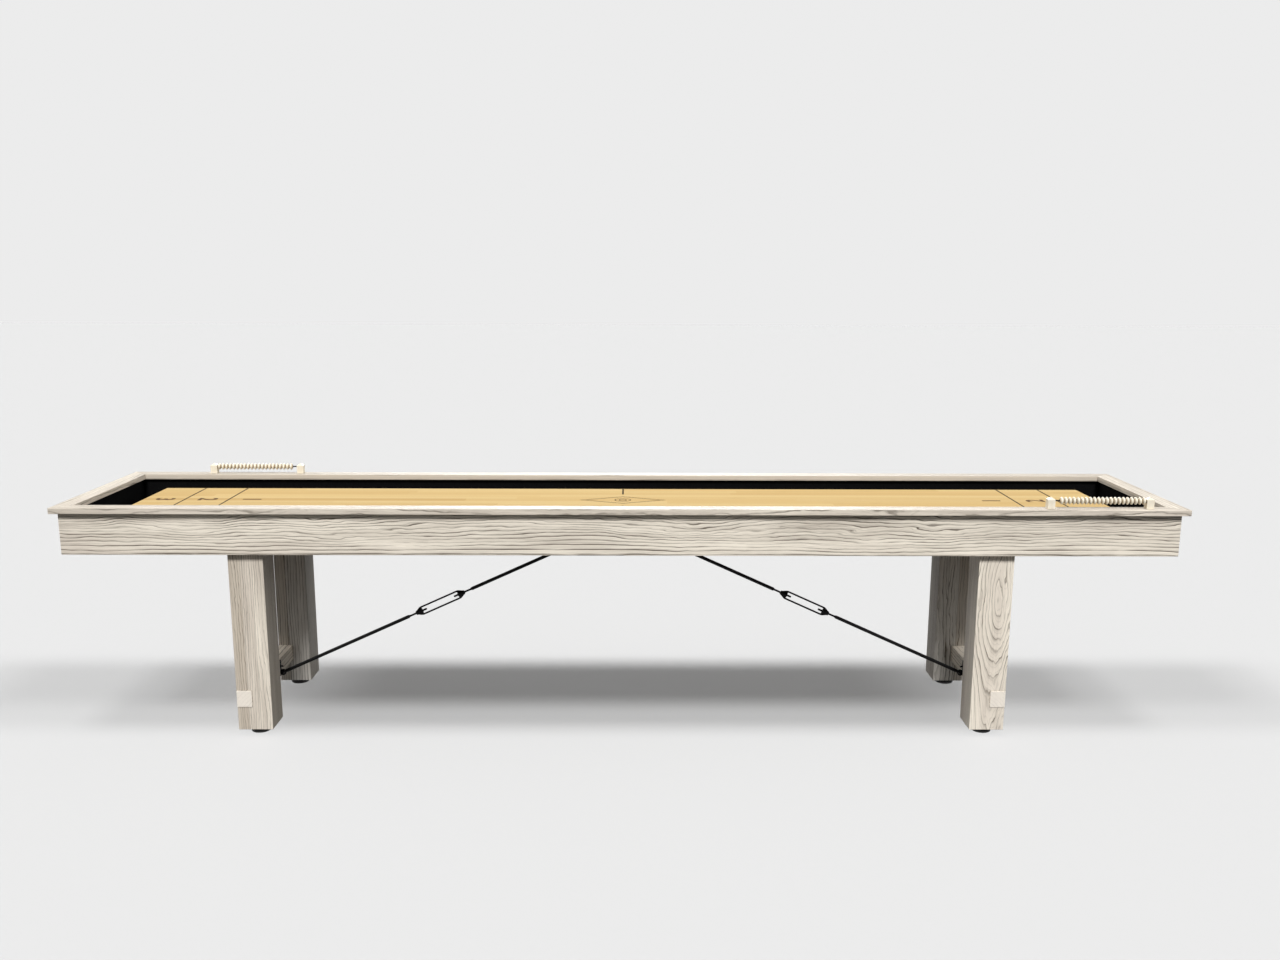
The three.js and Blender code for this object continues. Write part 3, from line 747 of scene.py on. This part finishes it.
line_low = field_low.y + EDGE_CLEAR
line_high = field_high.y - EDGE_CLEAR
for side, sign in SIDES.items():
    for i, x in enumerate(LINE_X):
        cross_line(f"score_line_{side}_{i + 1}", sign * x, line_low, line_high)
    for text, x in NUMERAL_X.items():
        numeral(f"numeral_{side}_{text}", text, sign * x, sign * math.pi / 2)

# The centre line stops short of a plain lozenge with a puck-sized ring in it.
LOZENGE_HALF = (0.150, 0.066)
RING_RADIUS = 0.029
CENTRE_STOP = 0.104
cross_line("centre_line_back", 0, CENTRE_STOP, line_high)
cross_line("centre_line_front", 0, line_low, -CENTRE_STOP)


def lozenge(scale):
    """The outline of the lozenge, made smaller by the scale."""
    half_x, half_y = (value * scale for value in LOZENGE_HALF)
    return [(-half_x, 0), (0, -half_y), (half_x, 0), (0, half_y)]


def circle(radius, count=64):
    turns = [2 * math.pi * i / count for i in range(count)]
    return [(radius * math.cos(t), radius * math.sin(t)) for t in turns]


emblem = merged([ribbon(outline, stroke * MM, inlay_low, inlay_top) for outline, stroke in (
    (lozenge(1.0), 3.6), (lozenge(0.86), 2.2),
    (circle(RING_RADIUS), 4.0), (circle(RING_RADIUS * 0.5), 5.0),
)])
inlays.append(rides(mesh_object("centre_lozenge", *emblem, pale_ink), ROOT))

# ---------------------------------------------------------------------- leveler feet
foot_black = moulded_black()
steel = black_steel("truss_black")
stem_steel = black_steel("stem_black", base=0.006, roughness=0.38, wear=0.5)
pad_low, pad_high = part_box("leveler_pad_front_left")
PAD_RADIUS = (pad_high.x - pad_low.x) / 2
PAD_HEIGHT = pad_high.z - pad_low.z
PAD_EASE = 2.5 * MM
PAD_RIM_TOP = 8.0 * MM
PAD_NECK = 13.0 * MM
PAD_BORE = 5.6 * MM
PAD_RECESS = 0.8 * MM
STEM_RADIUS = 5.0 * MM
STEM_PITCH = 1.5 * MM
STEM_DEPTH = 0.8 * MM


def arc(centre, radius, start, end, count=6):
    """Points of an arc in the (radius, z) plane, angles in degrees."""
    turns = [math.radians(start + (end - start) * i / count) for i in range(count + 1)]
    return [(centre[0] + radius * math.cos(t), centre[1] + radius * math.sin(t)) for t in turns]


def foot_profile():
    """Half-section of a leveler's pad: a hollowed sole, a rounded rim and a neck with a bore."""
    rim = PAD_RADIUS - PAD_EASE
    fillet = 3 * MM
    lip = 1 * MM
    bore_floor = PAD_HEIGHT - 5 * MM
    return ([(0, PAD_RECESS), (rim - 4 * MM, PAD_RECESS), (rim - 3 * MM, 0)]
            + arc((rim, PAD_EASE), PAD_EASE, -90, 0)
            + arc((rim, PAD_RIM_TOP), PAD_EASE, 0, 80)
            + arc((PAD_NECK + fillet, 17 * MM), fillet, 260, 180)
            + arc((PAD_NECK - lip, PAD_HEIGHT - lip), lip, 0, 90)
            + [(PAD_BORE, PAD_HEIGHT), (PAD_BORE, bore_floor), (0, bore_floor)])


def threaded(length, radius, pitch, depth, segments=20, steps=6):
    """A bar along z with a true helical thread, from z = 0 to length, closed at both ends."""
    rows = int(length / pitch * steps)
    verts, faces = [], []
    for i in range(rows + 1):
        z = length * i / rows
        for k in range(segments):
            phase = (z / pitch - k / segments) % 1.0
            ridge = 1 - abs(2 * phase - 1)
            fade = min(1.0, (length - z) / pitch, z / pitch)
            r = radius - depth * (1 - ridge * fade)
            turn = 2 * math.pi * k / segments
            verts.append((r * math.cos(turn), r * math.sin(turn), z))
    for i in range(rows):
        for k in range(segments):
            n = (k + 1) % segments
            a, b = i * segments, (i + 1) * segments
            faces.append([a + k, a + n, b + n, b + k])
    faces.append(list(range(segments))[::-1])
    last = rows * segments
    faces.append(list(range(last, last + segments)))
    return verts, faces


pad_part = lathe(foot_profile(), 64)
for corner in CORNERS:
    centre = middle(f"leveler_pad_{corner}")
    place = Matrix.Translation((centre.x, centre.y, 0))
    pad = mesh_object(f"foot_pad_{corner}", *turned(pad_part, place), foot_black)
    rides(pad, f"foot_pad_{corner}", [f"leveler_pad_{corner}"])
    low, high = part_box(f"leveler_stem_{corner}")
    place = Matrix.Translation((centre.x, centre.y, low.z))
    stem_part = threaded(high.z - low.z, STEM_RADIUS, STEM_PITCH, STEM_DEPTH)
    stem = mesh_object(f"foot_stem_{corner}", *turned(stem_part, place), stem_steel)
    rides(stem, f"foot_stem_{corner}", [f"leveler_stem_{corner}"])

# ------------------------------------------------------------------------------- truss
EYE_RADIUS = 11 * MM
EYE_HALF = 4.5 * MM
EYE_HOLE = 6.3 * MM
EYE_EASE = 2.0 * MM
EYE_CHAMFER = 0.8 * MM
ROD_RADIUS = 6 * MM
ROD_TAPER = 6 * MM
ROD_THREAD = 3.8 * MM
ROD_PITCH = 1.5 * MM
ROD_DEPTH = 0.7 * MM
THREAD_OUT = 24 * MM
THREAD_IN = 41 * MM
BUCKLE_HALF = 95 * MM
BUCKLE_BAR = 3.2 * MM
BUCKLE_BAR_Z = 13.5 * MM
BUCKLE_VOXEL = 0.9 * MM
STEEL_EASE = dict(bevel=0.6 * MM, segments=2)


def truss_line(side):
    """The lower eye's centre, the unit vector up the rod, and the distance eye to eye."""
    sign = SIDES[side]
    low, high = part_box(f"truss_rod_lower_{side}")
    start = Vector((sign * (max(abs(low.x), abs(high.x)) - EYE_RADIUS), 0, low.z + EYE_RADIUS))
    low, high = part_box(f"truss_rod_upper_{side}")
    end = Vector((sign * (min(abs(low.x), abs(high.x)) + EYE_RADIUS), 0, high.z - EYE_RADIUS))
    return start, (end - start).normalized(), (end - start).length


def headed(start, heading):
    """A matrix whose x axis runs along the heading from the start, with y kept level."""
    side = Vector((0, 1, 0))
    up = heading.cross(side)
    turn = Matrix((heading, side, up)).transposed().to_4x4()
    return Matrix.Translation(start) @ turn


def rod_part(shoulder, tip):
    """A forged eye at the origin, a round shank along x, and a real thread to the tip."""
    to_x = Matrix.Rotation(math.pi / 2, 4, "Y")
    to_y = Matrix.Rotation(math.pi / 2, 4, "X")
    root = EYE_RADIUS - 2.5 * MM
    overlap = 2 * MM
    shank = [(0, root), (ROD_RADIUS * 0.80, root), (ROD_RADIUS, EYE_RADIUS + 8 * MM),
             (ROD_RADIUS, shoulder - ROD_TAPER)]
    shank += [(ROD_THREAD + (ROD_RADIUS - ROD_THREAD) * math.cos(math.radians(a)) ** 2,
               shoulder - ROD_TAPER * (1 - a / 90)) for a in range(15, 91, 15)]
    shank.append((0, shoulder))
    side = EYE_HALF - EYE_CHAMFER
    round_z = EYE_HALF - EYE_EASE
    face = EYE_RADIUS - EYE_EASE
    eye = ([(EYE_HOLE, -side), (EYE_HOLE + EYE_CHAMFER, -EYE_HALF), (face, -EYE_HALF)]
           + arc((face, -round_z), EYE_EASE, -90, 0, 5)
           + arc((face, round_z), EYE_EASE, 0, 90, 5)
           + [(EYE_HOLE + EYE_CHAMFER, EYE_HALF), (EYE_HOLE, side)])
    thread = threaded(tip - shoulder + overlap, ROD_THREAD, ROD_PITCH, ROD_DEPTH)
    return merged([
        turned(lathe(shank, 28), to_x),
        turned(lathe(eye, 40), to_y),
        turned(thread, Matrix.Translation((shoulder - overlap, 0, 0)) @ to_x),
    ])


def turnbuckle_part():
    """Two round bars bent into tapered hubs, drawn along x about the origin."""
    knee = BUCKLE_HALF - 23 * MM
    hub_in = BUCKLE_HALF - 25 * MM
    hub = [(0, hub_in), (8.8 * MM, hub_in), (9.6 * MM, hub_in + 1.5 * MM),
           (9.4 * MM, hub_in + 8 * MM), (7.6 * MM, BUCKLE_HALF - 1.5 * MM),
           (6.6 * MM, BUCKLE_HALF), (0, BUCKLE_HALF)]
    bend = [(knee + 17 * MM * t, BUCKLE_BAR_Z - 8.5 * MM * t ** 1.2)
            for t in (0.15, 0.4, 0.7, 1.0)]
    half_path = [(0.0, BUCKLE_BAR_Z), (knee - 8 * MM, BUCKLE_BAR_Z),
                 (knee, BUCKLE_BAR_Z - 0.2 * MM)] + bend
    path = [(-x, z) for x, z in reversed(half_path[1:])] + half_path
    parts = []
    for sign in (-1, 1):
        parts.append(tube([(x, 0, sign * z) for x, z in path], BUCKLE_BAR))
        parts.append(turned(lathe(hub, 32), Matrix.Rotation(sign * math.pi / 2, 4, "Y")))
    return merged(parts)


def forged(obj, voxel):
    """Melts overlapping parts into one skin with soft fillets."""
    remesh = obj.modifiers.new("forge", "REMESH")
    remesh.mode = "VOXEL"
    remesh.voxel_size = voxel
    remesh.use_smooth_shade = True
    ease = obj.modifiers.new("ease", "SMOOTH")
    ease.iterations = 4
    ease.factor = 0.5
    melted = obj.evaluated_get(bpy.context.evaluated_depsgraph_get())
    mesh = bpy.data.meshes.new_from_object(melted)
    obj.modifiers.clear()
    obj.data = mesh


def rod(name, start, heading, length, material, replaced):
    """A rod from its eye to its thread's tip, which the turnbuckle's hub covers in part."""
    part = rod_part(length - THREAD_OUT, length + THREAD_IN)
    obj = mesh_object(name, *turned(part, headed(start, heading)), material)
    rides(obj, ROOT, [replaced])


for side in SIDES:
    start, heading, distance = truss_line(side)
    reach = (middle(f"turnbuckle_{side}") - start).dot(heading)
    buckle = mesh_object(f"turnbuckle_body_{side}", *turnbuckle_part(), steel)
    forged(buckle, BUCKLE_VOXEL)
    buckle.data.transform(headed(start, heading) @ Matrix.Translation((reach, 0, 0)))
    rides(buckle, f"turnbuckle_body_{side}", [f"turnbuckle_{side}"])
    rod(f"rod_lower_{side}", start, heading, reach - BUCKLE_HALF, steel,
        f"truss_rod_lower_{side}")
    rod(f"rod_upper_{side}", start + heading * distance, -heading,
        distance - reach - BUCKLE_HALF, steel, f"truss_rod_upper_{side}")
    cad(f"truss_anchor_{side}", steel, **STEEL_EASE)
cad("truss_centre_bracket", steel, **STEEL_EASE)

for side in SIDES:
    cad(f"climatic_adjuster_{side}", steel, **STEEL_EASE)
    cad(f"adjuster_nut_{side}", stem_steel, **STEEL_EASE)

# ------------------------------------------------------------------------------ screws
SCREW_RADIUS = 4.0 * MM
SMALL_SCREW_RADIUS = 3.6 * MM
SCREW_SUNK = 0.6 * MM
PLATE = 5 * MM


def screw_part(radius):
    """A domed screw head on the z = 0 plane, with a round dimple in its middle."""
    height = radius * 0.55
    dome = [(radius * math.cos(math.radians(a)), height * math.sin(math.radians(a)))
            for a in range(15, 76, 15)]
    dimple = [(radius * 0.20, height * 0.97), (radius * 0.16, height * 0.45), (0, height * 0.4)]
    return lathe([(0, -SCREW_SUNK), (radius, -SCREW_SUNK), (radius, 0)] + dome + dimple, 24)


def screw(name, spot, turn, radius):
    part = turned(screw_part(radius), Matrix.Translation(spot) @ turn)
    rides(mesh_object(name, *part, stem_steel), ROOT)


down = Matrix.Rotation(math.pi, 4, "X")
low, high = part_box("truss_centre_bracket")
BRACKET_SCREWS_X = (low.x + 12 * MM, -70 * MM, 70 * MM, high.x - 12 * MM)
BRACKET_SCREWS_Y = (-17 * MM, 17 * MM)
for i, x in enumerate(BRACKET_SCREWS_X):
    for j, y in enumerate(BRACKET_SCREWS_Y):
        screw(f"centre_bracket_screw_{i + 1}{j + 1}", (x, y, high.z - PLATE), down, SCREW_RADIUS)

ANCHOR_SCREWS_Y = (-15 * MM, 15 * MM)
for side, sign in SIDES.items():
    low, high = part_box(f"truss_anchor_{side}")
    face = max(abs(low.x), abs(high.x)) - PLATE
    inward = Matrix.Rotation(-sign * math.pi / 2, 4, "Y")
    for i, z in enumerate((low.z + 8 * MM, high.z - 8 * MM)):
        for j, y in enumerate(ANCHOR_SCREWS_Y):
            screw(f"anchor_screw_{side}_{i + 1}{j + 1}", (sign * face, y, z), inward,
                  SMALL_SCREW_RADIUS)

panel_low, panel_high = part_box("bottom_panel")
PANEL_SCREWS = 12
PANEL_SCREW_INSET = Vector((60 * MM, 10 * MM, 0))
first, last = panel_low + PANEL_SCREW_INSET, panel_high - PANEL_SCREW_INSET
for i in range(PANEL_SCREWS):
    x = first.x + (last.x - first.x) * i / (PANEL_SCREWS - 1)
    for j, y in enumerate((first.y, last.y)):
        screw(f"panel_screw_{i + 1:02d}_{j + 1}", (x, y, panel_low.z), down, SMALL_SCREW_RADIUS)

# ----------------------------------------------------------------------------- scorers
post_ivory = ivory("post_ivory", (0.800, 0.750, 0.640), (240.0, 240.0, 30.0))
wire_steel = black_steel("wire_black", base=0.010, roughness=0.32, wear=0.4)
BEAD_IVORY = (0.860, 0.815, 0.700)
BEAD_STREAKS = (700.0, 60.0, 60.0)
BEAD_PITCH = 13.3 * MM
BEAD_GAP = 0.15 * MM
BEAD_GROUPS = {4: 7, 3: 7, 2: 6, 1: 1}
WIRE_RADIUS = 2.2 * MM
WIRE_CHAMFER = 0.2 * MM


def bead_profile():
    """Half-section of a biconical bead as (radius, x): cones, a rounded rim and a bore."""
    bore, bore_chamfer = 2.8 * MM, 0.3 * MM
    neck, neck_ease = 5.4 * MM, Vector((0.6 * MM, 0.35 * MM))
    thick = BEAD_PITCH - BEAD_GAP
    rim = 2.2 * MM
    return ([(bore, bore_chamfer), (bore + bore_chamfer, 0), (neck, 0),
             (neck + neck_ease.x, neck_ease.y)]
            + arc((BEAD_RADIUS - rim, thick / 2), rim, -55, 55, 8)
            + [(neck + neck_ease.x, thick - neck_ease.y), (neck, thick),
               (bore + bore_chamfer, thick), (bore, thick - bore_chamfer)])


def wire_profile(length):
    """Half-section of a scorer's wire as (radius, x), chamfered at both ends."""
    flat = WIRE_RADIUS - WIRE_CHAMFER
    return [(0, 0), (flat, 0), (WIRE_RADIUS, WIRE_CHAMFER),
            (WIRE_RADIUS, length - WIRE_CHAMFER), (flat, length), (0, length)]


bead_part = lathe(bead_profile(), 40)
to_x = Matrix.Rotation(math.pi / 2, 4, "Y")
dice = random.Random(7)
for end in ENDS:
    wire_low, wire_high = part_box(f"{end}_scorer_wire")
    axis_y, axis_z = middle(f"{end}_scorer_wire").yz
    bead_ivory = ivory(f"bead_ivory_{end}", BEAD_IVORY, BEAD_STREAKS, (axis_y, axis_z))
    for group, count in BEAD_GROUPS.items():
        node = f"{end}_scorer_beads_{group}"
        low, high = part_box(node)
        centre = (low + high) / 2
        for i in range(count):
            start = Matrix.Translation((low.x + i * BEAD_PITCH, centre.y, centre.z))
            spin = Matrix.Rotation(dice.uniform(0, math.tau), 4, "X")
            part = turned(bead_part, start @ spin @ to_x)
            bead = mesh_object(f"{end}_bead_{group}_{i + 1}", *part, bead_ivory)
            rides(bead, f"{end}_beads_body_{group}", [node])
    for side in SIDES:
        cad(f"{end}_scorer_post_{side}", post_ivory, bevel=1.1 * MM)
    start = Matrix.Translation((wire_low.x, axis_y, axis_z))
    wire = turned(lathe(wire_profile(wire_high.x - wire_low.x), 24), start @ to_x)
    rides(mesh_object(f"{end}_wire_bar", *wire, wire_steel), ROOT,
          [f"{end}_scorer_wire"])

# ------------------------------------------------------------------------------ studio
BACKGROUND = 0.838
SKY = 0.30
GROUND = 0.07
FLOOR_HALF = 30.0
FLOOR_GREY = 0.30
floor_graph = Graph("studio_floor")
floor_graph.set("Base Color", (FLOOR_GREY, FLOOR_GREY, FLOOR_GREY, 1))
floor_graph.set("Roughness", 1.0)
floor_graph.set("Specular IOR Level", 0.0)
floor = mesh_object("floor", [(-FLOOR_HALF, -FLOOR_HALF, 0), (FLOOR_HALF, -FLOOR_HALF, 0),
                              (FLOOR_HALF, FLOOR_HALF, 0), (-FLOOR_HALF, FLOOR_HALF, 0)],
                    [[0, 1, 2, 3]], floor_graph.material)
# Bounced light passes the floor and meets the dim lower half of the world instead.
floor.visible_diffuse = False
floor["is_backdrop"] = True

world = bpy.data.worlds.new("studio")
bpy.context.scene.world = world
world.use_nodes = True
tree = world.node_tree
tree.nodes.clear()


def world_node(kind, *links):
    """A node of the world's tree, linked from (socket number, source) pairs."""
    node = tree.nodes.new(kind)
    for socket, source in links:
        tree.links.new(source, node.inputs[socket])
    return node


# The world lights the table from a sky and a dimmer ground, and the camera sees one plain tone.
direction = world_node("ShaderNodeTexCoord")
height = world_node("ShaderNodeSeparateXYZ", (0, direction.outputs["Generated"]))
dome = world_node("ShaderNodeMapRange", (0, height.outputs[2]))
for name, value in (("From Min", -0.10), ("From Max", 0.15), ("To Min", GROUND), ("To Max", SKY)):
    dome.inputs[name].default_value = value
lit = world_node("ShaderNodeBackground", (1, dome.outputs[0]))
lit.inputs[0].default_value = (1, 1, 1, 1)
seen = world_node("ShaderNodeBackground")
seen.inputs[0].default_value = (BACKGROUND, BACKGROUND, BACKGROUND, 1)
ray = world_node("ShaderNodeLightPath")
either = world_node("ShaderNodeMixShader", (0, ray.outputs["Is Camera Ray"]),
                    (1, lit.outputs[0]), (2, seen.outputs[0]))
world_node("ShaderNodeOutputWorld", (0, either.outputs[0]))


def group(name, members):
    """A collection for light linking."""
    collection = bpy.data.collections.new(name)
    for member in members:
        collection.objects.link(member)
    return collection


def sun(name, azimuth, elevation, strength, softness, receivers, blockers=None):
    """A wide, soft light from the azimuth that the camera angles use, for some pieces only. The
    blockers are the only pieces that cast a shadow in it; without them, all pieces do."""
    data = bpy.data.lights.new(name, "SUN")
    data.energy = strength
    data.angle = math.radians(softness)
    lamp = bpy.data.objects.new(name, data)
    bpy.context.scene.collection.objects.link(lamp)
    turn, rise = math.radians(azimuth), math.radians(elevation)
    toward = Vector((math.sin(turn) * math.cos(rise), -math.cos(turn) * math.cos(rise),
                     math.sin(rise)))
    lamp.rotation_mode = "QUATERNION"
    lamp.rotation_quaternion = toward.to_track_quat("Z", "Y")
    lamp.light_linking.receiver_collection = receivers
    if blockers:
        lamp.light_linking.blocker_collection = blockers


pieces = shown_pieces()
playfield_pieces = [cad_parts["playfield"], *inlays]
every_piece = group("every_piece", pieces)
not_glossy = group("all_but_playfield", [p for p in pieces if p not in playfield_pieces])
sun("key", azimuth=2, elevation=44, strength=3.50, softness=14, receivers=every_piece)
sun("back_fill", azimuth=180, elevation=20, strength=1.6, softness=25, receivers=not_glossy)
for side, sign in SIDES.items():
    sun(f"side_fill_{side}", azimuth=sign * 90, elevation=25, strength=1.2, softness=25,
        receivers=not_glossy)

# The floor has lights of its own, each blocked by a part of the table only. The leaning ones
# draw the shadow in under the table's ends, and the open one has nothing to block it.
stage_only = group("stage_only", [floor])
top_nodes = [f"{part}_{edge}" for part in ("rail", "apron") for edge in EDGES]
top_nodes += ["playfield", "bottom_panel"]
table_top = group("table_top", [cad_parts[node] for node in top_nodes])
field_only = group("field_only", [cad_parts["playfield"]])
FLOOR_LIGHT = (BACKGROUND / FLOOR_GREY - SKY) * math.pi
FLOOR_SOFTNESS = 12
SIDE_LEANS = (-42, 0, 42)
FLOOR_LIGHTS = {
    "wide": dict(share=0.40, leans=SIDE_LEANS, lean_y=9, blockers=table_top),
    "deep": dict(share=0.38, leans=SIDE_LEANS, lean_y=17, blockers=field_only),
    "open": dict(share=0.22, leans=(0,), lean_y=0, blockers=stage_only),
}
for name, light in FLOOR_LIGHTS.items():
    for i, lean_x in enumerate(light["leans"]):
        tilt_x, tilt_y = math.radians(lean_x), math.radians(light["lean_y"])
        toward = Vector((math.tan(tilt_x), -math.tan(tilt_y), 1)).normalized()
        sun(f"floor_{name}_{i + 1}",
            azimuth=math.degrees(math.atan2(toward.x, -toward.y)),
            elevation=math.degrees(math.asin(toward.z)),
            strength=FLOOR_LIGHT * light["share"] / len(light["leans"]) / toward.z,
            softness=FLOOR_SOFTNESS, receivers=stage_only, blockers=light["blockers"])

# ------------------------------------------------------------------------------ camera
CAMERA_PLACE = Vector((0.0230, -4.0837, 1.5409))
YAW, PITCH, ROLL = (math.radians(a) for a in (0.523, 11.701, 0.218))
LENS = 33.546
SENSOR = 36.0
SHIFT_UP = 0.0278
FARTHEST = 200
forward = Vector((math.sin(YAW) * math.cos(PITCH), math.cos(YAW) * math.cos(PITCH),
                  -math.sin(PITCH)))
level = Vector((math.cos(YAW), -math.sin(YAW), 0))
upward = level.cross(forward)
right = level * math.cos(ROLL) + upward * math.sin(ROLL)
up = upward * math.cos(ROLL) - level * math.sin(ROLL)
camera_data = bpy.data.cameras.new("camera")
camera_data.sensor_width = SENSOR
camera_data.lens = LENS
camera_data.shift_y = SHIFT_UP
camera_data.clip_end = FARTHEST
camera = bpy.data.objects.new("camera", camera_data)
bpy.context.scene.collection.objects.link(camera)
camera.matrix_world = (Matrix.Translation(CAMERA_PLACE)
                       @ Matrix((right, up, -forward)).transposed().to_4x4())
bpy.context.scene.camera = camera
bpy.context.scene.view_settings.view_transform = "Standard"
bpy.context.scene.view_settings.look = "None"
